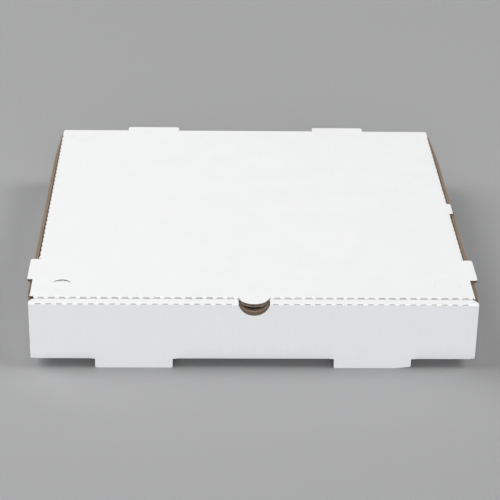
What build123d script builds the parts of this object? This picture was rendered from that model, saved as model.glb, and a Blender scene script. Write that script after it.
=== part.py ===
from build123d import *

import os
from math import radians, tan

# Board
BOARD = 3.0                  # thickness of the single-wall corrugated board
FOLD_RADIUS = 1.4            # outside rounding of a creased fold
SEAT_GAP = 0.3               # air between layers that lie against each other
CUT_GAP = 0.6                # width of a die-cut slit

# Tray
TRAY_WIDTH = 413.0           # across the front wall
TRAY_DEPTH = 413.0           # front wall to back wall, outside faces
WALL_HEIGHT = 58.1           # base underside to the top of the front band
FOOT_HEIGHT = 9.0            # base underside above the table
SIDE_LEAN = 3.0              # degrees by which the side walls lean outwards
BAND_DEPTH = 12.7            # flat top of the rolled-over front wall
INNER_INSET = 4.3            # inside front panel, in from each end of the outside one
CORNER_RELIEF = 3.5          # cut-back of the base's folds at the corners
JOIN_LAP = 20.0              # strip of the base shared by two folds
FRONT_FLAP_LENGTH = 92.0     # side walls' corner flaps, held inside the front wall
BACK_FLAP_LENGTH = 60.0      # side walls' corner flaps, behind the back wall
FLAP_DROP = 9.0              # corner flaps' top edge below the side walls' top edge
SIDE_CORNER_LENGTH = 10.0    # cut-off at the top corners of the side walls
SIDE_CORNER_DROP = 6.0

# Feet and the slots they leave in the base
FOOT_WIDTH = 72.0
FOOT_OFFSET = 75.0           # middle of the box to the near side of a foot
FOOT_ROUND = 1.2
SLOT_EXTRA = 1.2             # slot length beyond the foot that was cut out of it

# Perforated folds: dashes cut through the fold's outside, which open as the board bends
DASH_LENGTH = 5.0
DASH_PITCH = 9.7
DASH_DEPTH = 1.3             # depth of the opened dash, in from both faces of the fold
DASH_COUNT = 19              # dashes along each half of a front fold
DASH_FIRST = 21.5            # middle of the box to the first dash on the lid's front fold
DASH_SHIFT = -1.8            # shift of the front wall's dashes against the lid's
SIDE_DASH_COUNT = 30         # dashes along each of the lid's side folds

# Thumb notch and tongue
NOTCH_WIDTH = 29.0
NOTCH_DEPTH = 12.0
INNER_NOTCH_DEPTH = 12.9      # the same arc in the inside panel, below the band's top
TONGUE_WIDTH = 28.2
TONGUE_TIP_INSET = 0.3       # tongue tip behind the front face
TONGUE_FOLD_EXTRA = 1.5      # how much lower the tongue's outline sits in the folded tuck flap

# Lid
LID_SIDE_INSET = 2.5         # lid's side fold, in from the front wall's end
LID_FRONT_GAP = 0.3          # between the band and the lid's front fold
TUCK_LENGTH = 46.0           # front tuck flap, below the lid's top face
TUCK_TILT = 5.0              # degrees inwards, so that it clears the inside panel as the lid lifts
TUCK_INSET = 3.5             # tuck flap, in from the lid's sides
TUCK_TAPER = 12.0            # narrowing of the tuck flap at each lower corner
DUST_LENGTH = 44.0           # side dust flaps, below the lid's top face
DUST_TILT = 2.0
DUST_EAR_GAP = 1.5           # dust flap, behind the ear
DUST_BACK_INSET = 18.0       # dust flap, in from the hinge
DUST_TAPER = 14.0            # narrowing of the dust flap at each lower corner

# Ears, back tabs and vents
EAR_START = 48.5             # front face to the near end of an ear
EAR_LENGTH = 41.8
EAR_REACH = 8.0              # ear beyond the lid's side fold
WING_REACH = 1.3             # lid's plain edge in front of the ear, beyond the side fold
SMALL_EAR_START = 196.0
SMALL_EAR_LENGTH = 24.0
SMALL_EAR_REACH = 3.4
TAB_OFFSET = 75.0            # middle of the box to the near side of a back tab
TAB_WIDTH = 56.8
TAB_REACH = 9.4              # back tab beyond the back wall
TAB_ROUND = 2.5
TAB_CLEARANCE = 0.6
VENT_RADIUS = 11.5
VENT_SIDE_INSET = 21.8       # lid side to a vent's centre
VENT_FRONT_INSET = 24.5      # lid's front fold to a front vent's centre
VENT_BACK_INSET = 20.0       # hinge to a back vent's centre
VENT_ARCS = 4
VENT_NICK = 16.0             # degrees of uncut board between two arcs

# Places that follow from the sizes above. y runs back from the front face, z up from the table.
HALF_WIDTH = TRAY_WIDTH / 2
BASE_TOP = FOOT_HEIGHT + BOARD
TOP = FOOT_HEIGHT + WALL_HEIGHT
UNDER_LID = TOP - BOARD
SIDE_TOP = UNDER_LID - SEAT_GAP
FLAP_FRONT = BOARD + SEAT_GAP
FLAP_BACK = TRAY_DEPTH - BOARD - SEAT_GAP
SLOT_END = FOOT_HEIGHT + SLOT_EXTRA
INNER_FOOT = SLOT_END - SEAT_GAP
INNER_HALF = HALF_WIDTH - INNER_INSET
HALF_LID = HALF_WIDTH - LID_SIDE_INSET
LID_FRONT = BAND_DEPTH + LID_FRONT_GAP
EAR_END = EAR_START + EAR_LENGTH
TONGUE_REACH = LID_FRONT - TONGUE_TIP_INSET
HINGE_GAP = SEAT_GAP * 2 ** 0.5
FAR = 2 * (TRAY_WIDTH + TRAY_DEPTH)
SIDES = (-1, 1)


def block(x_low, x_high, y_low, y_high, z_low, z_high):
    """Rectangular block between two opposite corners."""
    size = Box(x_high - x_low, y_high - y_low, z_high - z_low, align=(Align.MIN, Align.MIN, Align.MIN))
    return Pos(x_low, y_low, z_low) * size


def board_section(*outside):
    """Section of the folded board: the line of its outside face, with the thickness on its left."""
    points = [Vector(*point) for point in outside]
    runs = [(end - start).normalized() for start, end in zip(points, points[1:])]
    lefts = [Vector(-run.Y, run.X) for run in runs]
    inside = [points[0] + lefts[0] * BOARD]
    for fold, before, after in zip(points[1:], lefts, lefts[1:]):
        inside.append(fold + (before + after) * (BOARD / (1 + before.dot(after))))
    inside.append(points[-1] + lefts[-1] * BOARD)
    section = make_face(Polyline(*points, *reversed(inside), close=True))
    folds = [section.vertices().sort_by_distance(fold)[0] for fold in points[1:-1]]
    return fillet(folds, FOLD_RADIUS)


def folded_along_x(half_length, *outside):
    """Board folded on lines along x, from the (y, z) points of its outside face."""
    return extrude(Plane.YZ * board_section(*outside), half_length, both=True)


def folded_along_y(y_low, y_high, *outside):
    """Board folded on lines along y, from the (x, z) points of its outside face."""
    section = Pos(0, y_low, 0) * (Plane.XZ * board_section(*outside))
    return extrude(section, y_high - y_low, dir=(0, 1, 0))


def prism_along_x(half_length, *points):
    """Prism across the box, from the (y, z) points of its section."""
    return extrude(Plane.YZ * make_face(Polyline(*points, close=True)), half_length, both=True)


def both_sides(shape):
    """The shape and its mirror image on the other side of the box."""
    return shape + mirror(shape, Plane.YZ)


def flat_tab(x_low, x_high, y_low, y_high):
    """Tab in the plane of the lid's top panel, with rounded corners."""
    tab = block(x_low, x_high, y_low, y_high, UNDER_LID, TOP)
    return fillet(tab.edges().filter_by(Axis.Z), TAB_ROUND)


def arc_radius(chord, height):
    """Radius of the arc over a chord."""
    return (chord ** 2 / 4 + height ** 2) / (2 * height)


def dash_row(start, end, count):
    """Cutter for a row of opened dashes, centred on the fold's outside corner, from start towards end."""
    start = Vector(*start)
    step = (Vector(*end) - start).normalized() * DASH_PITCH
    along_x = abs(step.X) > abs(step.Y)
    length, width = (DASH_LENGTH, 2 * DASH_DEPTH) if along_x else (2 * DASH_DEPTH, DASH_LENGTH)
    dash = Box(length, width, 2 * DASH_DEPTH)
    return [Pos(*(start + step * turn)) * dash for turn in range(count)]


def front_dashes(y, shift):
    """Dashes along a front fold, on both sides of the thumb notch."""
    right = dash_row((DASH_FIRST + shift, y, TOP), (HALF_WIDTH, y, TOP), DASH_COUNT)
    left = dash_row((shift - DASH_FIRST, y, TOP), (-HALF_WIDTH, y, TOP), DASH_COUNT)
    return right + left


def front_roll_over():
    """Outside panel, band and inside panel of the front wall, with the thumb notch and lock tabs."""
    wall = folded_along_x(
        HALF_WIDTH,
        (INNER_FOOT, FOOT_HEIGHT),
        (BAND_DEPTH, TOP),
        (0, TOP),
        (0, BASE_TOP),
    )
    end_cut = make_face(
        Polyline(
            (HALF_WIDTH, BOARD),
            (INNER_HALF, BAND_DEPTH - BOARD),
            (INNER_HALF, TRAY_DEPTH),
            (FAR, TRAY_DEPTH),
            (FAR, BOARD),
            close=True,
        )
    )
    wall -= both_sides(extrude(end_cut, FAR))

    # The inside panel stands on the base, and only its lock tabs reach down into the feet's slots
    below = block(-FAR, FAR, BOARD, BAND_DEPTH, 0, BASE_TOP + SEAT_GAP)
    below -= both_sides(
        block(FOOT_OFFSET + SEAT_GAP, FOOT_OFFSET + FOOT_WIDTH - SEAT_GAP, 0, BAND_DEPTH, 0, TOP)
    )
    wall -= below

    # The notch is an arc in the outside and inside panels and a gap across the band, which the tongue fills
    notch_radius = arc_radius(NOTCH_WIDTH, NOTCH_DEPTH)
    arc = Rot(90, 0, 0) * Cylinder(notch_radius, 2 * BOARD)
    wall -= Pos(0, 0, TOP - NOTCH_DEPTH + notch_radius) * arc
    wall -= Pos(0, BAND_DEPTH, TOP - INNER_NOTCH_DEPTH + notch_radius) * arc
    wall -= block(-NOTCH_WIDTH / 2, NOTCH_WIDTH / 2, 0, LID_FRONT, UNDER_LID - SEAT_GAP, FAR)
    return wall - front_dashes(0, DASH_SHIFT)


def base_and_walls():
    """Base with its side walls, the foot of the front wall and the whole back wall."""
    lean = (SIDE_TOP - FOOT_HEIGHT) * tan(radians(SIDE_LEAN))
    sides = folded_along_y(
        FLAP_FRONT + FOLD_RADIUS,
        FLAP_BACK - FOLD_RADIUS,
        (-HALF_WIDTH - lean, SIDE_TOP),
        (-HALF_WIDTH, FOOT_HEIGHT),
        (HALF_WIDTH, FOOT_HEIGHT),
        (HALF_WIDTH + lean, SIDE_TOP),
    )
    for edge, inward in ((FLAP_FRONT, SIDE_CORNER_LENGTH), (FLAP_BACK, -SIDE_CORNER_LENGTH)):
        sides -= prism_along_x(
            FAR,
            (edge + inward, SIDE_TOP + SIDE_CORNER_DROP),
            (edge + inward, SIDE_TOP),
            (edge, SIDE_TOP - SIDE_CORNER_DROP),
            (edge, SIDE_TOP + SIDE_CORNER_DROP),
        )
    front = folded_along_x(HALF_WIDTH, (0, TOP - BAND_DEPTH), (0, FOOT_HEIGHT), (JOIN_LAP, FOOT_HEIGHT))
    back = folded_along_x(
        HALF_WIDTH,
        (TRAY_DEPTH - JOIN_LAP, FOOT_HEIGHT),
        (TRAY_DEPTH, FOOT_HEIGHT),
        (TRAY_DEPTH, TOP),
    )
    # The back wall meets the lid at a mitre that closes on the outside face, where the lid hinges
    back -= prism_along_x(
        FAR,
        (TRAY_DEPTH - BOARD, FAR),
        (TRAY_DEPTH - BOARD, UNDER_LID - HINGE_GAP),
        (TRAY_DEPTH, TOP - HINGE_GAP),
        (TRAY_DEPTH, FAR),
    )
    # Slots that the lid's back tabs were cut out of
    back -= both_sides(
        block(
            TAB_OFFSET - TAB_CLEARANCE,
            TAB_OFFSET + TAB_WIDTH + TAB_CLEARANCE,
            TRAY_DEPTH - JOIN_LAP,
            FAR,
            TOP - TAB_REACH - TAB_CLEARANCE,
            FAR,
        )
    )
    relief = block(HALF_WIDTH - CORNER_RELIEF, FAR, BOARD, TRAY_DEPTH - BOARD, 0, TOP)
    return sides + (front + back - both_sides(relief))


def feet():
    """Tongues of the base that stayed in the plane of the front and back walls."""
    foot = block(FOOT_OFFSET, FOOT_OFFSET + FOOT_WIDTH, 0, BOARD, 0, FOOT_HEIGHT + JOIN_LAP)
    lower_corners = foot.edges().filter_by(Axis.Y).group_by(Axis.Z)[0]
    foot = fillet(lower_corners, FOOT_ROUND)
    return both_sides(foot + Pos(0, TRAY_DEPTH - BOARD, 0) * foot)


def foot_slots():
    """Openings that the feet leave in the base."""
    slot = block(FOOT_OFFSET, FOOT_OFFSET + FOOT_WIDTH, BOARD, SLOT_END, 0, BASE_TOP)
    back_slot = Pos(0, TRAY_DEPTH - BOARD - SLOT_END, 0) * slot
    return both_sides(slot + back_slot)


def corner_flaps():
    """Flaps at the ends of the side walls, folded inwards behind the front and back walls."""
    front = board_section(
        (HALF_WIDTH - FRONT_FLAP_LENGTH, FLAP_FRONT),
        (HALF_WIDTH, FLAP_FRONT),
        (HALF_WIDTH, FLAP_FRONT + JOIN_LAP),
    )
    back = board_section(
        (HALF_WIDTH, FLAP_BACK - JOIN_LAP),
        (HALF_WIDTH, FLAP_BACK),
        (HALF_WIDTH - BACK_FLAP_LENGTH, FLAP_BACK),
    )
    height = SIDE_TOP - FLAP_DROP - BASE_TOP - SEAT_GAP
    flaps = extrude(Pos(0, 0, BASE_TOP + SEAT_GAP) * (front + back), height, dir=(0, 0, 1))
    fold_line = Axis((HALF_WIDTH, 0, FOOT_HEIGHT), (0, 1, 0))
    return both_sides(flaps.rotate(fold_line, SIDE_LEAN))


def make_tray():
    """Open tray of the box."""
    return base_and_walls() - foot_slots() + feet() + front_roll_over() + corner_flaps()


def top_panel():
    """Lid's top panel, mitred at the hinge, with rounded folds along the front and the sides."""
    panel = prism_along_x(
        HALF_LID,
        (TRAY_DEPTH, TOP),
        (LID_FRONT, TOP),
        (LID_FRONT, UNDER_LID),
        (TRAY_DEPTH - BOARD, UNDER_LID),
    )
    top_edges = panel.faces().sort_by(Axis.Z)[-1].edges()
    return fillet(top_edges.sort_by(Axis.Y)[:-1], FOLD_RADIUS)


def tuck_flap():
    """Front flap, which slides down behind the inside front panel."""
    tuck_foot = LID_FRONT + TUCK_LENGTH * tan(radians(TUCK_TILT))
    half_tuck = HALF_LID - TUCK_INSET
    flap = folded_along_x(
        half_tuck,
        (LID_FRONT + JOIN_LAP, TOP),
        (LID_FRONT, TOP),
        (tuck_foot, TOP - TUCK_LENGTH),
    )
    corner = make_face(
        Polyline(
            (half_tuck, UNDER_LID),
            (half_tuck - TUCK_TAPER, TOP - TUCK_LENGTH),
            (half_tuck - TUCK_TAPER, 0),
            (FAR, 0),
            (FAR, UNDER_LID),
            close=True,
        )
    )
    flap -= both_sides(extrude(Plane.XZ * corner, FAR, both=True))
    # Where the thumb tongue was cut out of the flap
    radius = arc_radius(TONGUE_WIDTH, TONGUE_REACH)
    arc = Rot(90, 0, 0) * Cylinder(radius, FAR)
    return flap - Pos(0, 0, TOP - TONGUE_REACH - TONGUE_FOLD_EXTRA + radius) * arc


def dust_flaps():
    """Side flaps behind the ears, which hang inside the side walls, with a window for the small ear."""
    flap_foot = HALF_LID - DUST_LENGTH * tan(radians(DUST_TILT))
    start = EAR_END + DUST_EAR_GAP
    end = TRAY_DEPTH - DUST_BACK_INSET
    flap = folded_along_y(
        start,
        end,
        (flap_foot, TOP - DUST_LENGTH),
        (HALF_LID, TOP),
        (HALF_LID - JOIN_LAP, TOP),
    )
    for edge, inward in ((start, DUST_TAPER), (end, -DUST_TAPER)):
        flap -= prism_along_x(
            FAR,
            (edge, UNDER_LID),
            (edge + inward, TOP - DUST_LENGTH),
            (edge, TOP - DUST_LENGTH),
        )
    small_window = block(
        0, FAR, SMALL_EAR_START, SMALL_EAR_START + SMALL_EAR_LENGTH, TOP - SMALL_EAR_REACH, FAR
    )
    return (flap - small_window) + mirror(flap, Plane.YZ)


def thumb_tongue():
    """Rounded tongue in the plane of the top panel, over the notch in the front wall."""
    radius = arc_radius(TONGUE_WIDTH, TONGUE_REACH)
    disc = extrude(Pos(0, LID_FRONT - TONGUE_REACH + radius, UNDER_LID) * Circle(radius), BOARD)
    return disc & block(-FAR, FAR, 0, LID_FRONT + FOLD_RADIUS, 0, FAR)


def ears():
    """Tabs over the side walls' top edges, and the lid's plain edges in front of them."""
    root = HALF_LID - JOIN_LAP
    ear = flat_tab(root, HALF_LID + EAR_REACH, EAR_START, EAR_END)
    wing = block(root, HALF_LID + WING_REACH, LID_FRONT + FOLD_RADIUS, EAR_END - TAB_ROUND, UNDER_LID, TOP)
    # The small ear is on the right side only
    small_end = SMALL_EAR_START + SMALL_EAR_LENGTH
    small_ear = flat_tab(root, HALF_LID + SMALL_EAR_REACH, SMALL_EAR_START, small_end)
    return both_sides(ear + wing) + small_ear


def back_tabs():
    """Tabs that stand out behind the hinge."""
    root = TRAY_DEPTH - JOIN_LAP
    return both_sides(flat_tab(TAB_OFFSET, TAB_OFFSET + TAB_WIDTH, root, TRAY_DEPTH + TAB_REACH))


def vent_cuts():
    """Slits round the four knock-out vents, with nicks that hold each disc."""
    step = 360 / VENT_ARCS
    ring = Sketch()
    for turn in range(VENT_ARCS):
        middle = 90 + turn * step
        arc = CenterArc((0, 0), VENT_RADIUS, middle - (step - VENT_NICK) / 2, step - VENT_NICK)
        ring += SlotArc(arc, CUT_GAP)
    slits = Part()
    for y in (LID_FRONT + VENT_FRONT_INSET, TRAY_DEPTH - VENT_BACK_INSET):
        for side in SIDES:
            place = Pos(side * (HALF_LID - VENT_SIDE_INSET), y, UNDER_LID)
            slits += extrude(place * ring, BOARD)
    return slits


def lid_dashes():
    """Dashes along the lid's front fold, and along its side folds where a dust flap hangs."""
    cuts = front_dashes(LID_FRONT, 0)
    first = EAR_END + DUST_EAR_GAP + DASH_PITCH
    for side in SIDES:
        x = side * HALF_LID
        cuts += dash_row((x, first, TOP), (x, TRAY_DEPTH, TOP), SIDE_DASH_COUNT)
    return cuts


def make_lid():
    """Lid with its flaps, in the closed position."""
    folded = top_panel() + tuck_flap() + dust_flaps() - lid_dashes()
    return folded + thumb_tongue() + ears() + back_tabs() - vent_cuts()


# The origin is on the table, under the middle of the box with its back tabs
to_origin = Pos(0, -(TRAY_DEPTH + TAB_REACH) / 2, 0)
os.makedirs("parts", exist_ok=True)
for name, shape in (("tray", make_tray()), ("lid", make_lid())):
    export_step(to_origin * shape, f"parts/{name}.step")
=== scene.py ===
import math
import bmesh
import bpy
import numpy as np
from mathutils import Matrix, Vector, geometry


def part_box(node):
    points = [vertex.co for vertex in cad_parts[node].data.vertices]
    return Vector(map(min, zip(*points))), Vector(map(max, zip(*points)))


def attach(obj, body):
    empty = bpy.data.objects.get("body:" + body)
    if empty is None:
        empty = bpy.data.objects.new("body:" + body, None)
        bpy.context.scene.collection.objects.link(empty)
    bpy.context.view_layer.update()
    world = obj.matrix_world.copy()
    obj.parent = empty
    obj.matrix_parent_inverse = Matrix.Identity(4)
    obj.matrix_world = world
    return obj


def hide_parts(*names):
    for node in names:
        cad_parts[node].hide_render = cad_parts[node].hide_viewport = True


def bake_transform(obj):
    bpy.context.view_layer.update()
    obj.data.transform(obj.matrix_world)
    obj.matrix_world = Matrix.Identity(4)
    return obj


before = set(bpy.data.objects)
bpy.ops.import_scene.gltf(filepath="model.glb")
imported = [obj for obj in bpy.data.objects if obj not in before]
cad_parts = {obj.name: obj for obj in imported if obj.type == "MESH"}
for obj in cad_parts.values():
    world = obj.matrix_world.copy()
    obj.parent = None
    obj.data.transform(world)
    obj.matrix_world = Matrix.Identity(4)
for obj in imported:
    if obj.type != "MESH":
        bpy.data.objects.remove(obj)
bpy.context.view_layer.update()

# Tray. The lower part of one die-cut sheet of single-wall corrugated board, white outside and brown kraft
# inside. It is creased and folded up into a base, four walls and corner flaps, and the front wall rolls over
# into a flat band and an inside panel that locks into slots in the base.
board = 3.0
half_width = 206.5
depth = 413.0
base_level = 9.0
top_level = 67.1
band = 12.7
wall_top = 63.8
wall_lean = math.radians(3.0)
inside_half = 202.2
inside_foot = 9.9
relief = 3.5
seat_gap = 0.3
above_base = base_level + board + seat_gap
flap_top = wall_top - 9.0
foot_near = 75.0
foot_far = 147.0
foot_round = 1.2
slot_end = 10.2
pull = 0.9
pull_run = 6.0
roll_top = base_level + 10.0
plain_fold = 1.6
foot_fold = 0.8
dashed_fold = 1.8
lock_fold = 3.5
flap_fold = 1.4
flap_gap = board + seat_gap
dash = 5.0
dash_pitch = 9.7
front_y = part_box("tray")[0].y * 1000


def cut(*points):
    """Corners of a panel's cut edge, each with no fold behind it."""
    return [(p, q, 0, 0, 0) for p, q in points]


def fold_edge(places, level, inward, reach, upright=False):
    """Points of a panel's folded edge, which each layer draws back from by its own amount."""
    if upright:
        return [(level, place, inward, 0, reach) for place in places]
    return [(place, level, 0, inward, reach) for place in places]


def spans(start, end, dash_centres=()):
    """Unbroken lengths of a fold between its dashes, each as a row of places along it."""
    low, high = min(start, end), max(start, end)
    cuts = [c for c in sorted(dash_centres) if low + 0.6 * dash < c < high - 0.6 * dash]
    ends = [low] + [c + side * dash / 2 for c in cuts for side in (-1, 1)] + [high]
    rows = []
    for a, b in zip(ends[::2], ends[1::2]):
        count = 5 if cuts else max(2, int((b - a) / 25) + 1)
        rows.append(np.linspace(a, b, count))
    return rows


def places(*rows):
    """All places along several rows of spans, in order."""
    return [place for row in rows for span in row for place in span]


def panel(origin, p_axis, q_axis, out, outline, holes=(), waves=0, lift=None, creases=(), crushed=False):
    """A flat panel of board. Waves says which of its two directions the flutes repeat along.

    A crushed panel's flutes are pressed shut along all its cut edges."""
    return {
        "origin": np.array(origin, float),
        "axes": np.array([p_axis, q_axis], float),
        "out": np.array(out, float) / np.linalg.norm(out),
        "outline": outline,
        "holes": list(holes),
        "waves": waves,
        "lift": lift,
        "creases": list(creases),
        "crushed": crushed,
    }


def fold(corner, axis, into_a, into_b, reach, rows, lips=None, swell=(0, 0, 0), lean=(0, 0, 0), pulled=None):
    """The round of the outside liner between two panels that meet at a corner line.

    At a dash the liner is cut, and a flat lip of each panel reaches to within the given distances of the corner.
    The second panel's lips lean out, and between dashes the liner swells out as it is bent. A pulled corner line
    lies further back by an amount that depends on the place along it."""
    return {
        "corner": np.array(corner, float),
        "axis": np.array(axis, float),
        "into": [np.array(v, float) / np.linalg.norm(v) for v in (into_a, into_b)],
        "reach": reach,
        "rows": rows,
        "lips": lips,
        "swell": np.array(swell, float),
        "lean": np.array(lean, float),
        "pulled": pulled,
    }


def mirrored(part):
    """The same panel or fold on the other side of the box."""
    flip = np.array([-1, 1, 1])
    twin = dict(part)
    for key in ("origin", "out", "corner", "axis", "swell", "lean"):
        if key in twin:
            twin[key] = twin[key] * flip
    if "axes" in twin:
        twin["axes"] = twin["axes"] * flip
    if "into" in twin:
        twin["into"] = [v * flip for v in twin["into"]]
    return twin


def arc(centre, radius, start, end, count):
    """Points on an arc, with its angles in degrees."""
    angles = np.radians(np.linspace(start, end, count))
    return [(centre[0] + radius * math.cos(a), centre[1] + radius * math.sin(a)) for a in angles]


# Middles of the dashes along the lid's front fold, and those of the front wall's fold, which lie further left
first_dash = 21.5
dashes_a_side = 19
dash_shift = 1.8
front_dashes = [side * (first_dash + k * dash_pitch) for side in (-1, 1) for k in range(dashes_a_side)]
wall_dashes = [centre - dash_shift for centre in front_dashes]

notch_half = 14.5
notch_depth = 12.0
notch_radius = (notch_half ** 2 + notch_depth ** 2) / (2 * notch_depth)
notch_centre = top_level - notch_depth + notch_radius
notch_swing = math.degrees(math.asin((notch_centre - top_level) / notch_radius))
notch = arc((0, notch_centre), notch_radius, -notch_swing, -180 + notch_swing, 25)

# Places along the fold under the front and back walls, closer together at the ends of the feet
foot_ends = (foot_far, foot_far + pull_run / 2)
beside_feet = np.concatenate([foot_ends, np.linspace(foot_far + pull_run, half_width - relief, 4)])
foot_sides = np.array([foot_near - pull_run / 2, foot_near])
between_feet = np.linspace(pull_run - foot_near, foot_near - pull_run, 7)
between_feet = np.concatenate([-foot_sides[::-1], between_feet, foot_sides])
base_rows = [[-beside_feet[::-1]], [between_feet], [beside_feet]]
band_rows = [
    spans(-half_width, -notch_half, wall_dashes),
    spans(notch_half, half_width, wall_dashes),
]
lock_rows = [spans(-inside_half, -notch_half), spans(notch_half, inside_half)]
side_rows = spans(flap_gap + flap_fold, depth - flap_gap - flap_fold)
flap_rows = spans(above_base, flap_top)


def foot(side, tilt, tilt_run=14.0):
    """Outline of one foot from its left side to its right, standing on the table. Its right end may tilt up."""
    left, right = sorted((side * foot_near, side * foot_far))
    corner = [(0, foot_round), (0.4, 0.35), (foot_round, 0)]
    rounded_left = [(left + x, z) for x, z in corner]
    rounded_right = [(right - x, tilt + z) for x, z in corner[::-1]]
    return cut(*rounded_left, (right - tilt_run, 0), *rounded_right)


def foot_pull(x):
    """How far the crease under the front wall is pulled back beside the feet, which stay upright."""
    clear = np.maximum(foot_near - np.abs(x), np.abs(x) - foot_far)
    share = np.clip(clear / pull_run, 0, 1)
    return pull * share * share * (3 - 2 * share)


def rolled_in(p, q):
    """The front wall's foot rolls in to meet that crease."""
    share = np.clip((roll_top - q) / (roll_top - base_level - foot_fold), 0, 1)
    return -foot_pull(p) * share ** 2


def pulled_edge(row):
    """The base's front edge along that crease."""
    return [(place, foot_pull(place), 0, 1, foot_fold) for place in places(row)]


roll_lines = [((-half_width, q), (half_width, q)) for q in np.linspace(base_level + 2.0, roll_top, 6)]
for x in (foot_near - pull_run, *foot_sides, *foot_ends, foot_far + pull_run):
    roll_lines += [((side * x, base_level), (side * x, roll_top)) for side in (-1, 1)]

front_wall = panel(
    (0, 0, 0), (1, 0, 0), (0, 0, 1), (0, -1, 0),
    cut((-half_width, base_level + foot_fold))
    + fold_edge(places(base_rows[0]), base_level, 1, foot_fold)
    + foot(-1, 0.0)
    + fold_edge(places(base_rows[1]), base_level, 1, foot_fold)
    + foot(1, 1.3)
    + fold_edge(places(base_rows[2]), base_level, 1, foot_fold)
    + cut((half_width, base_level + foot_fold))
    + fold_edge(places(band_rows[1])[::-1], top_level, -1, dashed_fold)
    + cut(*notch[1:-1])
    + fold_edge(places(band_rows[0])[::-1], top_level, -1, dashed_fold),
    lift=rolled_in,
    creases=roll_lines,
    crushed=True,
)

base = panel(
    (0, 0, base_level), (1, 0, 0), (0, 1, 0), (0, 0, -1),
    pulled_edge(base_rows[0])
    + cut((-foot_far, slot_end), (-foot_near, slot_end))
    + pulled_edge(base_rows[1])
    + cut((foot_near, slot_end), (foot_far, slot_end))
    + pulled_edge(base_rows[2])
    + cut((half_width - relief, flap_gap + flap_fold))
    + fold_edge(places(side_rows), half_width, -1, plain_fold, upright=True)
    + cut((half_width - relief, depth - flap_gap - flap_fold))
    + fold_edge(places(base_rows[2])[::-1], depth, -1, plain_fold)
    + cut((foot_far, depth - slot_end), (foot_near, depth - slot_end))
    + fold_edge(places(base_rows[1])[::-1], depth, -1, plain_fold)
    + cut((-foot_near, depth - slot_end), (-foot_far, depth - slot_end))
    + fold_edge(places(base_rows[0])[::-1], depth, -1, plain_fold)
    + cut((-half_width + relief, depth - flap_gap - flap_fold))
    + fold_edge(places(side_rows)[::-1], -half_width, 1, plain_fold, upright=True)
    + cut((-half_width + relief, flap_gap + flap_fold)),
)

band_right = panel(
    (0, 0, top_level), (1, 0, 0), (0, 1, 0), (0, 0, 1),
    fold_edge(places(band_rows[1]), 0, 1, dashed_fold)
    + cut((half_width, 3.6), (inside_half + 2.2, 7.0), (inside_half + 0.8, 9.2))
    + fold_edge(places(lock_rows[1])[::-1], band, -1, lock_fold),
)
band_left = panel(
    (0, 0, top_level), (1, 0, 0), (0, 1, 0), (0, 0, 1),
    fold_edge(places(band_rows[0]), 0, 1, dashed_fold)
    + fold_edge(places(lock_rows[0])[::-1], band, -1, lock_fold)
    + cut((-inside_half - 1.6, 9.2), (-half_width, 5.2)),
)

inside_slope = (band - inside_foot) / (top_level - base_level)
lock_tab = [
    (foot_far - seat_gap, above_base), (foot_far - seat_gap, base_level),
    (foot_near + seat_gap, base_level), (foot_near + seat_gap, above_base),
]
inside_panel = panel(
    (0, band - top_level * inside_slope, 0), (1, 0, 0), (0, inside_slope, 1), (0, 1, -inside_slope),
    fold_edge(places(lock_rows[0]), top_level, -1, lock_fold)
    + cut(*[(x, z - 0.1) for x, z in notch[-3:1:-1]])
    + fold_edge(places(lock_rows[1]), top_level, -1, lock_fold)
    + cut(
        (inside_half, above_base), *lock_tab, *[(-x, z) for x, z in lock_tab[::-1]], (-inside_half, above_base),
    ),
    crushed=True,
)

# Sides and foot of the slots that the lid's back tabs leave
tab_slot = (74.4, 132.4, 57.1)
hinge_reach = 1.4
back_top = top_level - 0.42
back_wall = panel(
    (0, depth, 0), (1, 0, 0), (0, 0, 1), (0, 1, 0),
    cut((-half_width + relief, base_level + plain_fold))
    + fold_edge(places(base_rows[0]), base_level, 1, plain_fold)
    + foot(-1, 0.0)
    + fold_edge(places(base_rows[1]), base_level, 1, plain_fold)
    + foot(1, 0.0)
    + fold_edge(places(base_rows[2]), base_level, 1, plain_fold)
    + fold_edge((half_width - relief, tab_slot[1]), back_top, -1, hinge_reach)
    + cut((tab_slot[1], tab_slot[2]), (tab_slot[0], tab_slot[2]))
    + fold_edge((tab_slot[0], -tab_slot[0]), back_top, -1, hinge_reach)
    + cut((-tab_slot[0], tab_slot[2]), (-tab_slot[1], tab_slot[2]))
    + fold_edge((-tab_slot[1], -half_width + relief), back_top, -1, hinge_reach),
)

lean_ends = (flap_gap + 2.0, depth - 18.0)
lean_runs = (25.0, 80.0)


def leaning(y, z):
    """How far a side wall stands out: not at all at its ends, which the corner flaps hold upright."""
    free = np.minimum((y - lean_ends[0]) / lean_runs[0], (lean_ends[1] - y) / lean_runs[1])
    free = np.clip(free, 0, 1)
    return (z - base_level) * math.tan(wall_lean) * free * (2 - free)


wall_start = flap_gap + 10.0
wall_end = depth - 8.0
wall_places = np.linspace(wall_end, wall_start, 40)
side_wall = panel(
    (half_width, 0, 0), (0, 1, 0), (0, 0, 1), (1, 0, 0),
    fold_edge(places(side_rows), base_level, 1, plain_fold)
    + cut((depth - flap_gap - flap_fold, above_base))
    + fold_edge(places(flap_rows), depth - flap_gap, -1, flap_fold, upright=True)
    + cut((depth - flap_gap - flap_fold, wall_top - 3.0), (wall_end, wall_top))
    + cut(*[(y, wall_top) for y in wall_places[1:-1]])
    + cut((wall_start, wall_top), (flap_gap + flap_fold, wall_top - 6.0))
    + fold_edge(places(flap_rows)[::-1], flap_gap, 1, flap_fold, upright=True)
    + cut((flap_gap + flap_fold, above_base)),
    waves=1,
    lift=leaning,
    creases=[((y, 0), (y, top_level)) for y in wall_places],
)


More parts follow.
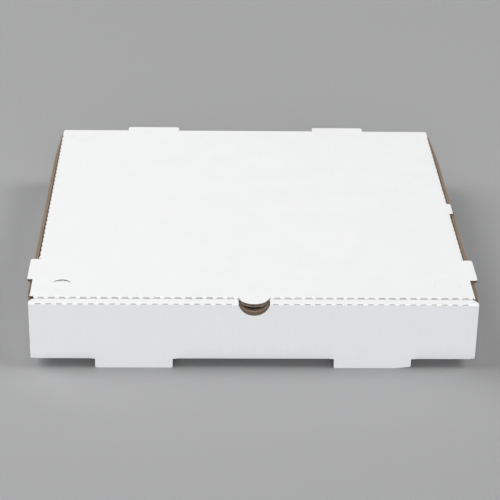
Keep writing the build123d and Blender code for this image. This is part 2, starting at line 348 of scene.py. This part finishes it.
def corner_flap(y, out_y, length, bevel=8):
    """Flap at a side wall's end, folded in behind the front or back wall."""
    tip = half_width - length
    return panel(
        (0, y, 0), (1, 0, 0), (0, 0, 1), (0, out_y, 0),
        fold_edge(places(flap_rows), half_width, -1, flap_fold, upright=True)
        + cut((tip + bevel, flap_top), (tip, flap_top - bevel))
        + cut((tip, above_base + bevel), (tip + bevel, above_base)),
        waves=1,
    )


front_flap = corner_flap(flap_gap, -1, 92.0)
back_flap = corner_flap(depth - flap_gap, 1, 60.0)
tray_panels = [front_wall, base, band_right, band_left, inside_panel, back_wall]
for part in (side_wall, front_flap, back_flap):
    tray_panels += [part, mirrored(part)]

up = (0, 0, 1)
back = (0, 1, 0)
tray_folds = [
    fold((0, 0, base_level), (1, 0, 0), up, back, foot_fold, base_rows, pulled=foot_pull),
    fold((0, depth, base_level), (1, 0, 0), up, (0, -1, 0), plain_fold, base_rows),
    fold((0, 0, top_level), (1, 0, 0), (0, 0, -1), back, dashed_fold, band_rows, (0.4, 0.4), (0, -0.1, 0.1)),
    fold((0, band, top_level), (1, 0, 0), (0, -1, 0), (0, -inside_slope, -1), lock_fold, lock_rows),
]
for part in (
    fold((half_width, 0, base_level), back, (-1, 0, 0), up, plain_fold, [side_rows]),
    fold((half_width, flap_gap, 0), up, (-1, 0, 0), back, flap_fold, [flap_rows]),
    fold((half_width, depth - flap_gap, 0), up, (-1, 0, 0), (0, -1, 0), flap_fold, [flap_rows]),
):
    tray_folds += [part, mirrored(part)]


def inside_loops(points, loops):
    """Which points lie within the first loop and outside the rest."""
    inside = np.zeros(len(points), bool)
    for loop in loops:
        a = np.array(loop, float)
        b = np.roll(a, -1, axis=0)
        for (ax, ay), (bx, by) in zip(a, b):
            if ay == by:
                continue
            crossing = (points[:, 1] < ay) != (points[:, 1] < by)
            reach = ax + (points[:, 1] - ay) * (bx - ax) / (by - ay)
            inside ^= crossing & (points[:, 0] < reach)
    return inside


def triangulated(loops, extra_points=(), lines=()):
    """Triangles that fill the first loop and leave the rest open, cut along the lines."""
    points = []
    edges = []
    for loop in loops:
        first = len(points)
        points += list(loop)
        edges += [(first + i, first + (i + 1) % len(loop)) for i in range(len(loop))]
    points += list(extra_points)
    for a, b in lines:
        edges.append((len(points), len(points) + 1))
        points += [a, b]
    found = geometry.delaunay_2d_cdt([Vector(p) for p in points], edges, [], 0, 1e-4)
    flat = np.array([v[:] for v in found[0]])
    faces = np.array(found[2])
    used, faces = np.unique(faces[inside_loops(flat[faces].mean(axis=1), loops)], return_inverse=True)
    return flat[used], faces.reshape(-1, 3)


def drawn_back(part, outside):
    """A panel's outline for one layer: the outside liner stops at the round, the others at the inner corner."""
    back_by = [reach if outside else max(board, reach) for *_, reach in part["outline"]]
    return [(p + dp * away, q + dq * away) for (p, q, dp, dq, _), away in zip(part["outline"], back_by)]


def placed(points):
    """Points of the box in the frame, in metres."""
    return (np.array(points) + (0, front_y, 0)) / 1000


def in_space(part, flat, below):
    """Points of a panel in the frame, in metres, at a depth below its outside face."""
    lift = part["lift"](flat[:, 0], flat[:, 1]) if part["lift"] else np.zeros(len(flat))
    return placed(part["origin"] + flat @ part["axes"] + np.outer(lift - below, part["out"]))


class Sheet:
    """Points and faces of one layer of paper, gathered panel by panel."""

    def __init__(self):
        self.points = []
        self.faces = []
        self.flat = []
        self.out = []
        self.wave = []

    def add(self, points, faces, flat, facing, wave=0.0):
        """Adds one patch, turned to face the given way."""
        points = np.asarray(points)
        faces = np.asarray(faces)
        first = points[faces[:, 0]]
        normals = np.cross(points[faces[:, 1]] - first, points[faces[:, 2]] - first)
        if (normals @ np.asarray(facing)).sum() < 0:
            faces = faces[:, ::-1]
        self.faces += (faces + sum(len(p) for p in self.points)).tolist()
        self.points.append(points)
        self.flat.append(np.asarray(flat) / 1000)
        self.out.append(np.tile(facing, (len(points), 1)))
        self.wave.append(np.full(len(points), wave))

    def object(self, name):
        """The layer as an object, which keeps each point's place on the flat sheet."""
        mesh = bpy.data.meshes.new(name)
        points = np.concatenate(self.points)
        mesh.from_pydata(points.tolist(), [], self.faces)
        flat = np.concatenate(self.flat)
        corners = np.zeros(len(mesh.loops), int)
        mesh.loops.foreach_get("vertex_index", corners)
        mesh.uv_layers.new(name="sheet").uv.foreach_set("vector", flat[corners].ravel())
        for label, values in (("across", flat[:, 0]), ("wave", np.concatenate(self.wave))):
            mesh.attributes.new(label, "FLOAT", "POINT").data.foreach_set("value", values)
        outward = mesh.attributes.new("outward", "FLOAT_VECTOR", "POINT")
        outward.data.foreach_set("vector", np.concatenate(self.out).ravel())
        made = bpy.data.objects.new(name, mesh)
        bpy.context.scene.collection.objects.link(made)
        return made


def on_sheet(part, flat):
    """Place on the flat sheet: across the flutes, then along them."""
    return flat if part["waves"] == 0 else flat[:, ::-1]


def grid_inside(loop, step):
    """Points of a square grid that lie well within a loop."""
    low = np.min(loop, axis=0)
    high = np.max(loop, axis=0)
    p, q = np.meshgrid(np.arange(low[0] + step / 2, high[0], step), np.arange(low[1] + step / 2, high[1], step))
    points = np.column_stack([p.ravel(), q.ravel()])
    return [tuple(point) for point in points[inside_loops(points, [loop])]]


def add_lips(sheet, bend, outward):
    """The flat lips of a fold's two panels at each dash, where the liner is cut."""
    across = abs(bend["axis"][0]) > 0.5
    for group in bend["rows"]:
        for before, after in zip(group, group[1:]):
            for into, lip, lean in zip(bend["into"], bend["lips"], (0 * outward, bend["lean"])):
                ends = [(place, away) for away in (bend["reach"], lip) for place in (before[-1], after[0])]
                points = [bend["corner"] + bend["axis"] * place + into * away for place, away in ends]
                points[2:] = [point + lean for point in points[2:]]
                flat = [(place, away) if across else (away, place) for place, away in ends]
                sheet.add(placed(points), [(0, 1, 3, 2)], flat, outward)


def add_round(sheet, bend, row, middle, steps=6):
    """The round of a fold along one unbroken length of it."""
    into_a, into_b = bend["into"]
    half = math.acos(float(into_a @ middle))
    centre = middle * bend["reach"] / math.cos(half)
    radius = bend["reach"] * math.tan(half)
    side = (into_a - into_b) / np.linalg.norm(into_a - into_b)
    across = abs(bend["axis"][0]) > 0.5
    points = []
    flat = []
    for i in range(steps + 1):
        share = i / steps
        angle = (share - 0.5) * (math.pi - 2 * half)
        spoke = side * -math.sin(angle) - middle * math.cos(angle)
        run = share * radius * (math.pi - 2 * half)
        for place in row:
            along = (place - row[0]) / (row[-1] - row[0])
            swell = bend["swell"] * math.sin(math.pi * share) * math.sin(math.pi * along)
            pulled = np.array([0, bend["pulled"](place) if bend["pulled"] else 0, 0])
            points.append(bend["corner"] + bend["axis"] * place + centre + spoke * radius + swell + pulled)
            flat.append((place, run) if across else (run, place))
    width = len(row)
    corners = [i * width + j for i in range(steps) for j in range(width - 1)]
    faces = [(k, k + 1, k + width + 1, k + width) for k in corners]
    sheet.add(placed(points), faces, flat, -middle)


def liner_sheet(panels, folds, outside, grid_step=18.0):
    """The outside or inside liner of all panels, with the outside one carried round the folds."""
    sheet = Sheet()
    for part in panels:
        loops = [drawn_back(part, outside)] + part["holes"]
        flat, faces = triangulated(loops, grid_inside(loops[0], grid_step), part["creases"])
        facing = part["out"] if outside else -part["out"]
        sheet.add(in_space(part, flat, 0 if outside else board), faces, on_sheet(part, flat), facing)
    for bend in folds:
        middle = sum(bend["into"])
        middle = middle / np.linalg.norm(middle)
        add_lips(sheet, bend, -middle)
        for row in sum(bend["rows"], []):
            add_round(sheet, bend, row, middle)
    return sheet


def new_paper(name):
    """A new material, with its node tree and its shader."""
    paper = bpy.data.materials.new(name)
    paper.use_nodes = True
    return paper, paper.node_tree, paper.node_tree.nodes["Principled BSDF"]


def add_node(tree, kind, values=None, **settings):
    """A new node, with its settings made first and then the values of its inputs."""
    node = tree.nodes.new(kind)
    for label, setting in settings.items():
        setattr(node, label, setting)
    for label, value in (values or {}).items():
        node.inputs[label].default_value = value
    return node


def join(tree, *pairs):
    """Links, each from one node's output to another node's input."""
    for (source, output), (target, entry) in pairs:
        tree.links.new(source.outputs[output], target.inputs[entry])


def kraft_paper(name, light, dark, fleck):
    """Unbleached paper: brown, with darker fibres and a dry, slightly fuzzy surface."""
    paper, tree, shader = new_paper(name)
    place = add_node(tree, "ShaderNodeTexCoord")
    cloud = add_node(tree, "ShaderNodeTexNoise", {"Scale": 60, "Detail": 6})
    fibres = add_node(tree, "ShaderNodeTexNoise", {"Scale": 900, "Detail": 3})
    tone = add_node(tree, "ShaderNodeMix", {"A": (*dark, 1), "B": (*light, 1)}, data_type="RGBA")
    fibre_range = {"From Min": 0.34, "From Max": 0.46, "To Min": 0.45, "To Max": 0.0}
    dark_fibre = add_node(tree, "ShaderNodeMapRange", fibre_range)
    flecked = add_node(tree, "ShaderNodeMix", {"B": (*fleck, 1)}, data_type="RGBA")
    bump = add_node(tree, "ShaderNodeBump", {"Strength": 0.35, "Distance": 0.0002})
    shader.inputs["Roughness"].default_value = 0.85
    shader.inputs["Specular IOR Level"].default_value = 0.25
    join(
        tree,
        ((place, "Object"), (cloud, "Vector")),
        ((place, "Object"), (fibres, "Vector")),
        ((cloud, "Fac"), (tone, "Factor")),
        ((fibres, "Fac"), (dark_fibre, "Value")),
        ((dark_fibre, "Result"), (flecked, "Factor")),
        ((tone, "Result"), (flecked, "A")),
        ((flecked, "Result"), (shader, "Base Color")),
        ((fibres, "Fac"), (bump, "Height")),
        ((bump, "Normal"), (shader, "Normal")),
    )
    return paper


flute_pitch = 6.4
white_liner, tree, shader = new_paper("white_liner")
place = add_node(tree, "ShaderNodeTexCoord")
sheet_place = add_node(tree, "ShaderNodeUVMap", uv_map="sheet")
across = add_node(tree, "ShaderNodeSeparateXYZ")
turns = add_node(tree, "ShaderNodeMath", {1: 2 * math.pi / (flute_pitch / 1000)}, operation="MULTIPLY")
ridge = add_node(tree, "ShaderNodeMath", operation="SINE")
mottle = add_node(tree, "ShaderNodeTexNoise", {"Scale": 38, "Detail": 5})
fibres = add_node(tree, "ShaderNodeTexNoise", {"Scale": 1100, "Detail": 2})
tone = add_node(tree, "ShaderNodeValToRGB")
tone.color_ramp.elements[0].position = 0.32
tone.color_ramp.elements[0].color = (0.852, 0.854, 0.853, 1)
tone.color_ramp.elements[1].position = 0.66
tone.color_ramp.elements[1].color = (0.868, 0.869, 0.867, 1)
gloss = add_node(tree, "ShaderNodeMapRange", {"To Min": 0.68, "To Max": 0.82})
fibre_bump = add_node(tree, "ShaderNodeBump", {"Strength": 0.25, "Distance": 0.00012})
flute_bump = add_node(tree, "ShaderNodeBump", {"Strength": 0.5, "Distance": 0.00003})
shader.inputs["Specular IOR Level"].default_value = 0.2
join(
    tree,
    ((sheet_place, "UV"), (across, "Vector")),
    ((across, "X"), (turns, 0)),
    ((turns, "Value"), (ridge, 0)),
    ((place, "Object"), (mottle, "Vector")),
    ((place, "Object"), (fibres, "Vector")),
    ((mottle, "Fac"), (tone, "Fac")),
    ((tone, "Color"), (shader, "Base Color")),
    ((fibres, "Fac"), (gloss, "Value")),
    ((gloss, "Result"), (shader, "Roughness")),
    ((ridge, "Value"), (flute_bump, "Height")),
    ((fibres, "Fac"), (fibre_bump, "Height")),
    ((flute_bump, "Normal"), (fibre_bump, "Normal")),
    ((fibre_bump, "Normal"), (shader, "Normal")),
)

kraft_liner = kraft_paper("kraft_liner", (0.51, 0.38, 0.287), (0.425, 0.312, 0.23), (0.24, 0.168, 0.12))
liner_edge = kraft_paper("liner_edge", (0.44, 0.395, 0.35), (0.36, 0.32, 0.28), (0.22, 0.19, 0.165))
kraft_medium = kraft_paper("kraft_medium", (0.345, 0.262, 0.192), (0.27, 0.198, 0.14), (0.16, 0.105, 0.07))


def finished(made, name):
    """The evaluated piece as a plain mesh of its own, with its modifiers taken off."""
    bpy.context.view_layer.update()
    graph = bpy.context.evaluated_depsgraph_get()
    mesh = bpy.data.meshes.new_from_object(made.evaluated_get(graph))
    made.modifiers.clear()
    made.data = mesh
    mesh.name = name
    for label in ("across", "wave", "outward"):
        if label in mesh.attributes:
            mesh.attributes.remove(mesh.attributes[label])
    return made


liner = 0.3


def liner_piece(name, sheet, face_paper):
    """A liner with its own thickness: its face in one paper, its back in kraft, and its raw edges."""
    made = sheet.object(name)
    made.data.materials.append(face_paper)
    made.data.materials.append(kraft_liner)
    made.data.materials.append(liner_edge)
    solid = bmesh.new()
    solid.from_mesh(made.data)
    bmesh.ops.remove_doubles(solid, verts=solid.verts, dist=2e-5)
    solid.to_mesh(made.data)
    solid.free()
    thick = made.modifiers.new("thickness", "SOLIDIFY")
    thick.thickness = liner / 1000
    thick.offset = -1
    thick.material_offset = 1
    thick.material_offset_rim = 2
    return finished(made, name)


def fluting_tree():
    """Waves a flat sheet of paper into flutes, along the direction stored on the sheet."""
    tree = bpy.data.node_groups.new("fluting", "GeometryNodeTree")
    face = tree.interface
    face.new_socket("Geometry", in_out="INPUT", socket_type="NodeSocketGeometry")
    face.new_socket("Flute pitch", in_out="INPUT", socket_type="NodeSocketFloat")
    face.new_socket("Flute height", in_out="INPUT", socket_type="NodeSocketFloat")
    face.new_socket("Paper", in_out="INPUT", socket_type="NodeSocketMaterial")
    face.new_socket("Geometry", in_out="OUTPUT", socket_type="NodeSocketGeometry")
    given = add_node(tree, "NodeGroupInput")
    result = add_node(tree, "NodeGroupOutput")

    def stored(label, kind):
        node = add_node(tree, "GeometryNodeInputNamedAttribute", {"Name": label}, data_type=kind)
        return node.outputs["Attribute"]

    def worked(operation, a, b=None):
        node = add_node(tree, "ShaderNodeMath", operation=operation)
        for socket, value in zip(node.inputs, (a, b)):
            if isinstance(value, (int, float)):
                socket.default_value = value
            elif value is not None:
                tree.links.new(value, socket)
        return node.outputs["Value"]

    pitches = worked("DIVIDE", stored("across", "FLOAT"), given.outputs["Flute pitch"])
    turn = worked("MULTIPLY", pitches, 2 * math.pi)
    height = worked("MULTIPLY", given.outputs["Flute height"], 0.5)
    rise = worked("MULTIPLY", worked("MULTIPLY", worked("SINE", turn), height), stored("wave", "FLOAT"))
    offset = add_node(tree, "ShaderNodeVectorMath", operation="SCALE")
    tree.links.new(stored("outward", "FLOAT_VECTOR"), offset.inputs[0])
    tree.links.new(rise, offset.inputs["Scale"])
    moved = add_node(tree, "GeometryNodeSetPosition")
    real = add_node(tree, "GeometryNodeRealizeInstances")
    papered = add_node(tree, "GeometryNodeSetMaterial")
    join(
        tree,
        ((given, "Geometry"), (moved, "Geometry")),
        ((offset, "Vector"), (moved, "Offset")),
        ((moved, "Geometry"), (real, "Geometry")),
        ((real, "Geometry"), (papered, "Geometry")),
        ((given, "Paper"), (papered, "Material")),
        ((papered, "Geometry"), (result, "Geometry")),
    )
    return tree


fluting = fluting_tree()
medium = 0.2
flute_steps = 10
edge_set_back = 0.35
edge_inset = 0.25
shortest_edge = 0.2


def add_crushed_edges(sheet, part, loops):
    """Strips of crushed paper between the liners, where a cut runs along a flute or all round a crushed panel."""
    depths = np.array([edge_inset, edge_inset, board - edge_inset, board - edge_inset])
    for loop in loops:
        a = np.array(loop)
        b = np.roll(a, -1, axis=0)
        for start, end in zip(a, b):
            run = end - start
            length = np.linalg.norm(run)
            along_flute = abs(run[part["waves"]]) <= 0.15 * length
            if length < shortest_edge or not (along_flute or part["crushed"]):
                continue
            inward = np.array([-run[1], run[0]]) / length
            probe = (start + end) / 2 + inward * 0.1
            if not inside_loops(np.array([probe]), loops)[0]:
                inward = -inward
            rows = np.array([start, end, end, start]) + inward * edge_set_back
            points = in_space(part, rows, 0) - np.outer(depths, part["out"]) / 1000
            sheet.add(points, [(0, 1, 2, 3)], on_sheet(part, rows), -(inward @ part["axes"]))


def fluting_piece(name, panels):
    """The waved paper between the liners, with its crushed edges."""
    sheet = Sheet()
    step = flute_pitch / flute_steps
    for part in panels:
        loops = [drawn_back(part, False)] + part["holes"]
        low = np.min(loops[0], axis=0) - 1
        high = np.max(loops[0], axis=0) + 1
        way = part["waves"]
        lines = list(part["creases"])
        for k in range(math.ceil(low[way] / step), math.floor(high[way] / step) + 1):
            at = k * step
            lines.append(((at, low[1]), (at, high[1])) if way == 0 else ((low[0], at), (high[0], at)))
        flat, faces = triangulated(loops, lines=lines)
        sheet.add(in_space(part, flat, board / 2), faces, on_sheet(part, flat), part["out"], wave=1.0)
        add_crushed_edges(sheet, part, loops)
    made = sheet.object(name)
    waved = made.modifiers.new("fluting", "NODES")
    waved.node_group = fluting
    sockets = {s.name: s.identifier for s in fluting.interface.items_tree if s.in_out == "INPUT"}
    waved[sockets["Flute pitch"]] = flute_pitch / 1000
    waved[sockets["Flute height"]] = (board - 2 * liner - medium) / 1000
    waved[sockets["Paper"]] = kraft_medium
    thick = made.modifiers.new("thickness", "SOLIDIFY")
    thick.thickness = medium / 1000
    thick.offset = 0
    return finished(made, name)


def crease_faces(sheet, rows, inner, outer, facing):
    """Closes a panel's end at the hinge crease, where the board is pressed flat towards its outside face."""
    for start, end in rows:
        ends = [(start, *inner), (end, *inner), (end, *outer), (start, *outer)]
        flat = [(x, z) for x, _, z in ends]
        sheet.add(placed(ends), [(0, 1, 2, 3)], flat, facing)


hinge_half = half_width - relief
hinge_rows = [(-hinge_half, -tab_slot[1]), (-tab_slot[0], tab_slot[0]), (tab_slot[1], hinge_half)]
tray_kraft = liner_sheet(tray_panels, (), False)
crease_faces(
    tray_kraft, hinge_rows, (depth - board, back_top - board), (depth - 0.5, back_top - 0.5), (0, -1, 1)
)

tray_outside = liner_piece("tray_outside_liner", liner_sheet(tray_panels, tray_folds, True), white_liner)
tray_inside = liner_piece("tray_inside_liner", tray_kraft, kraft_liner)
tray_fluting = fluting_piece("tray_fluting", tray_panels)
for piece in (tray_outside, tray_inside, tray_fluting):
    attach(piece, "tray")
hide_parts("tray")

# Lid. The upper part of the same sheet, hinged on its crease along the back wall. Its front tuck flap and side
# dust flaps hang inside the tray from perforated folds, and the tongue, ears and back tabs stayed flat when
# those folds were made. Four round vents are cut through except for their nicks.
half_lid = 204.0
left_wing = 206.6
right_wing = 204.6
lid_front = 13.0
tongue_half = 14.1
tongue_reach = 12.7
tongue_radius = (tongue_half ** 2 + tongue_reach ** 2) / (2 * tongue_reach)
tongue_middle = lid_front - tongue_reach + tongue_radius
tongue_swing = math.degrees(math.asin((tongue_middle - lid_front) / tongue_radius))
tongue = arc((0, tongue_middle), tongue_radius, -180 + tongue_swing, -tongue_swing, 25)
tuck_half = 202.8
tuck_foot = 21.1
tuck_taper = 12.0
tuck_slope = math.tan(math.radians(5.0))
flap_root = top_level - board
dust_start = 91.8
dust_end = 395.0
dust_foot = 23.1
dust_taper = 14.0
dust_slope = math.tan(math.radians(2.0))
# Start, end and reach of the ears and of the back tabs
ear = (48.5, 90.3, 8.0)
small_ear = (196.0, 220.0, 3.4)
tab = (75.0, 131.8, 9.4)
side_dashes = [dust_start + dash_pitch * (k + 1) for k in range(30)]
tuck_rows = [
    spans(-tuck_half, -tongue_half, front_dashes),
    spans(tongue_half, tuck_half, front_dashes),
]
left_rows = [spans(dust_start, dust_end, side_dashes)]
right_rows = [spans(dust_start, small_ear[0], side_dashes), spans(small_ear[1], dust_end, side_dashes)]


def side_tab(side, start, end, reach, root=half_lid - dashed_fold):
    """Outline of an ear beyond the lid's side, with rounded corners, from front to back."""
    tip = half_lid + reach
    round_off = 2.0
    bevel = 0.6
    points = [
        (root, start), (tip - round_off, start), (tip - bevel, start + bevel),
        (tip, start + round_off), (tip, end - round_off), (tip - bevel, end - bevel),
        (tip - round_off, end), (half_lid - dashed_fold, end),
    ]
    return cut(*[(side * x, y) for x, y in points])


def back_tab(side):
    """Outline of a tab behind the hinge, from right to left."""
    left, right = sorted((side * tab[0], side * tab[1]))
    tip = depth + tab[2]
    round_off = 2.5
    bevel = 0.7
    return cut(
        (right, depth - board), (right, tip - round_off), (right - bevel, tip - bevel), (right - round_off, tip),
        (left + round_off, tip), (left + bevel, tip - bevel), (left, tip - round_off), (left, depth - board),
    )


vent_radius = 11.5
vent_x = 181.5
vent_front = 37.5
vent_back = 393.0
vent_arc = (53, 127)
pushed_vent = (-vent_x, vent_front)
push_slope = 0.17


def slit(centre, start, end, width):
    """Outline of a slit along part of a vent's circle."""
    count = max(5, int(abs(end - start) / 7))
    outer = arc(centre, vent_radius + width / 2, start, end, count)
    return outer + arc(centre, vent_radius - width / 2, end, start, count)


# The loose disc at the front left: torn along this line, and bent down behind the line between its ends
torn = arc((2.6, 1.4), 8.8, 23, 157, 17)


def torn_line(scale):
    """The torn line, drawn a little larger or smaller about the disc's centre."""
    return [(pushed_vent[0] + scale * x, pushed_vent[1] + scale * y) for x, y in torn]


bend = [torn_line(1.0)[0], torn_line(1.0)[-1]]
vents = [torn_line(1.02) + torn_line(0.98)[::-1], slit(pushed_vent, 250, 290, 0.12)]
for centre in ((vent_x, vent_front), (-vent_x, vent_back), (vent_x, vent_back)):
    vents += [slit(centre, *[quarter + end for end in vent_arc], 0.08) for quarter in (0, 90, 180, 270)]


def pushed_in(p, q):
    """How far the loose disc at the front left is pushed down behind its bend."""
    along = np.subtract(bend[0], bend[1])
    along = along / np.linalg.norm(along)
    behind = (q - bend[1][1]) * along[0] - (p - bend[1][0]) * along[1]
    loose = inside_loops(np.column_stack([p, q]), [torn_line(0.995)])
    return np.where(loose, -push_slope * np.clip(behind, 0, None), 0.0)


lid_top = panel(
    (0, 0, top_level), (1, 0, 0), (0, 1, 0), (0, 0, 1),
    cut((-left_wing, lid_front + dashed_fold))
    + fold_edge(places(tuck_rows[0]), lid_front, 1, dashed_fold)
    + cut(*tongue[1:-1])
    + fold_edge(places(tuck_rows[1]), lid_front, 1, dashed_fold)
    + cut((tuck_half + 0.2, 11.2), (right_wing - 0.5, 10.8), (right_wing, 11.6))
    + side_tab(1, *ear, root=right_wing)
    + fold_edge(places(right_rows[0]), half_lid, -1, dashed_fold, upright=True)
    + side_tab(1, *small_ear)
    + fold_edge(places(right_rows[1]), half_lid, -1, dashed_fold, upright=True)
    + cut((half_lid, dust_end))
    + fold_edge((half_lid, tab[1]), depth, -1, hinge_reach)
    + back_tab(1)
    + fold_edge((tab[0], -tab[0]), depth, -1, hinge_reach)
    + back_tab(-1)
    + fold_edge((-tab[1], -half_lid), depth, -1, hinge_reach)
    + cut((-half_lid, dust_end))
    + fold_edge(places(left_rows[0])[::-1], -half_lid, 1, dashed_fold, upright=True)
    + side_tab(-1, *ear, root=left_wing)[::-1],
    holes=vents,
    lift=pushed_in,
    creases=[bend],
)

tuck_flap = panel(
    (0, lid_front + top_level * tuck_slope, 0), (1, 0, 0), (0, -tuck_slope, 1), (0, -1, -tuck_slope),
    fold_edge(places(tuck_rows[0]), top_level, -1, dashed_fold)
    + cut(*[(x, top_level - (lid_front - y) - 1.5) for x, y in tongue[1:-1]])
    + fold_edge(places(tuck_rows[1]), top_level, -1, dashed_fold)
    + cut(
        (tuck_half, flap_root), (tuck_half - tuck_taper, tuck_foot),
        (-tuck_half + tuck_taper, tuck_foot), (-tuck_half, flap_root),
    ),
)


def dust_flap(rows, windows):
    """Flap that hangs from the lid's right side, open where the ears were cut out of it."""
    outline = []
    for row, window in zip(rows, windows + [None]):
        outline += fold_edge(places(row), top_level, -1, dashed_fold)
        if window:
            outline += cut((window[0], top_level - window[2]), (window[1], top_level - window[2]))
    outline += cut(
        (dust_end, flap_root), (dust_end - dust_taper, dust_foot),
        (dust_start + dust_taper, dust_foot), (dust_start, flap_root),
    )
    return panel(
        (half_lid - top_level * dust_slope, 0, 0), (0, 1, 0), (dust_slope, 0, 1), (1, 0, -dust_slope),
        outline, waves=1,
    )


lid_panels = [
    lid_top,
    tuck_flap,
    dust_flap(right_rows, [small_ear]),
    mirrored(dust_flap(left_rows, [])),
]
side_corner = (half_lid, 0, top_level)
hang = (-dust_slope, 0, -1)
right_lips = (0.5, 0.5)
right_swell = (0.5, 0, -0.1)
left_lips = (0.3, 0.9)
left_swell = (1.1, 0, -0.2)
lid_folds = [
    fold(
        (0, lid_front, top_level), (1, 0, 0), back, (0, tuck_slope, -1), dashed_fold, tuck_rows,
        (0.1, 0.1), (0, -1.9, -0.1), (0, -0.7, 0),
    ),
    fold(side_corner, back, (-1, 0, 0), hang, dashed_fold, right_rows, right_lips, right_swell),
    mirrored(fold(side_corner, back, (-1, 0, 0), hang, dashed_fold, left_rows, left_lips, left_swell)),
]

lid_kraft = liner_sheet(lid_panels, (), False)
crease_faces(
    lid_kraft, hinge_rows, (depth - board, top_level - board), (depth - 0.45, top_level - 0.35), (0, 1, -1)
)
lid_outside = liner_piece("lid_outside_liner", liner_sheet(lid_panels, lid_folds, True), white_liner)
lid_inside = liner_piece("lid_inside_liner", lid_kraft, kraft_liner)
lid_fluting = fluting_piece("lid_fluting", lid_panels)
for piece in (lid_outside, lid_inside, lid_fluting):
    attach(piece, "lid")
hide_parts("lid")

# Hinge crease. The strip of white liner that is bent where the back wall turns into the lid.
crease = Sheet()
crease_round = 0.4
crease_bevel = 0.12
crease_profile = [
    (depth, back_top - hinge_reach), (depth, top_level - crease_round),
    (depth - crease_bevel, top_level - crease_bevel),
    (depth - crease_round, top_level), (depth - hinge_reach, top_level),
]
for start, end in hinge_rows:
    points = [(x, y, z) for y, z in crease_profile for x in (start, end)]
    faces = [(2 * i, 2 * i + 1, 2 * i + 3, 2 * i + 2) for i in range(len(crease_profile) - 1)]
    flat = [(x, z - y) for x, y, z in points]
    crease.add(placed(points), faces, flat, (0, 1, 1))
hinge_crease = liner_piece("hinge_crease", crease, white_liner)
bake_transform(hinge_crease)

# Floor. A plain pale grey ground, so wide that its edge lies far behind the box.
floor_mesh = bpy.data.meshes.new("floor")
floor_half = 12.0
floor_corners = [(x * floor_half, y * floor_half, 0) for x, y in ((-1, -1), (1, -1), (1, 1), (-1, 1))]
floor_mesh.from_pydata(floor_corners, [], [(0, 1, 2, 3)])
floor = bpy.data.objects.new("floor", floor_mesh)
bpy.context.scene.collection.objects.link(floor)
floor_paint = bpy.data.materials.new("floor_paint")
floor_paint.use_nodes = True
floor_shader = floor_paint.node_tree.nodes["Principled BSDF"]
floor_shader.inputs["Base Color"].default_value = (0.378, 0.378, 0.381, 1)
floor_shader.inputs["Roughness"].default_value = 0.9
floor_shader.inputs["Specular IOR Level"].default_value = 0.1
floor_mesh.materials.append(floor_paint)

# Light. A soft light on each side, the left one stronger and a little behind, low light from the front, and a
# faint even surround, which looks as pale as the ground past its far edge.
for name, way, angle, energy, colour in (
    ("left_sun", (-1, 0.35, 1), 52, 1.74, (1, 1, 1)),
    ("right_sun", (1, 0, 1), 30, 1.44, (1, 1, 1)),
    ("front_sun", (0, -1, 0.36), 46, 2.05, (0.97, 0.98, 1)),
):
    lamp_data = bpy.data.lights.new(name, "SUN")
    lamp_data.energy = energy
    lamp_data.color = colour
    lamp_data.angle = math.radians(angle)
    lamp = bpy.data.objects.new(name, lamp_data)
    lamp.rotation_euler = Vector(way).to_track_quat("Z", "Y").to_euler()
    bpy.context.scene.collection.objects.link(lamp)
softbox_data = bpy.data.lights.new("left_softbox", "AREA")
softbox_data.energy = 8.1
softbox_data.size = 1.6
softbox = bpy.data.objects.new("left_softbox", softbox_data)
softbox.location = (-1.5, -0.3, 1.5)
softbox.rotation_euler = (softbox.location - Vector((0, -0.1, 0.04))).to_track_quat("Z", "Y").to_euler()
softbox.visible_camera = False
bpy.context.scene.collection.objects.link(softbox)
surround = bpy.data.worlds.new("surround")
surround.use_nodes = True
background = surround.node_tree.nodes["Background"]
background.inputs["Color"].default_value = (1, 1, 1, 1)
rays = add_node(surround.node_tree, "ShaderNodeLightPath")
brightness = add_node(surround.node_tree, "ShaderNodeMapRange", {"To Min": 0.02, "To Max": 0.39})
join(
    surround.node_tree,
    ((rays, "Is Camera Ray"), (brightness, "Value")),
    ((brightness, "Result"), (background, "Strength")),
)
bpy.context.scene.world = surround

# Camera at the photograph's viewing angle.
camera_data = bpy.data.cameras.new("camera")
camera_data.lens = 124.5
camera_data.sensor_width = 36.0
camera = bpy.data.objects.new("camera", camera_data)
yaw, pitch, roll = (math.radians(angle) for angle in (1.695, 26.464, 0.992))
ahead = Vector((math.sin(yaw) * math.cos(pitch), math.cos(yaw) * math.cos(pitch), -math.sin(pitch)))
level = Vector((math.cos(yaw), -math.sin(yaw), 0))
above = level.cross(ahead)
right = math.cos(roll) * level + math.sin(roll) * above
upward = -math.sin(roll) * level + math.cos(roll) * above
spot = Vector((-0.0461, -1.3933 + front_y / 1000, 0.8165))
turn = Matrix((right, upward, -ahead)).transposed()
camera.matrix_world = Matrix.Translation(spot) @ turn.to_4x4()
bpy.context.scene.collection.objects.link(camera)
bpy.context.scene.camera = camera
bpy.context.scene.view_settings.view_transform = "Standard"
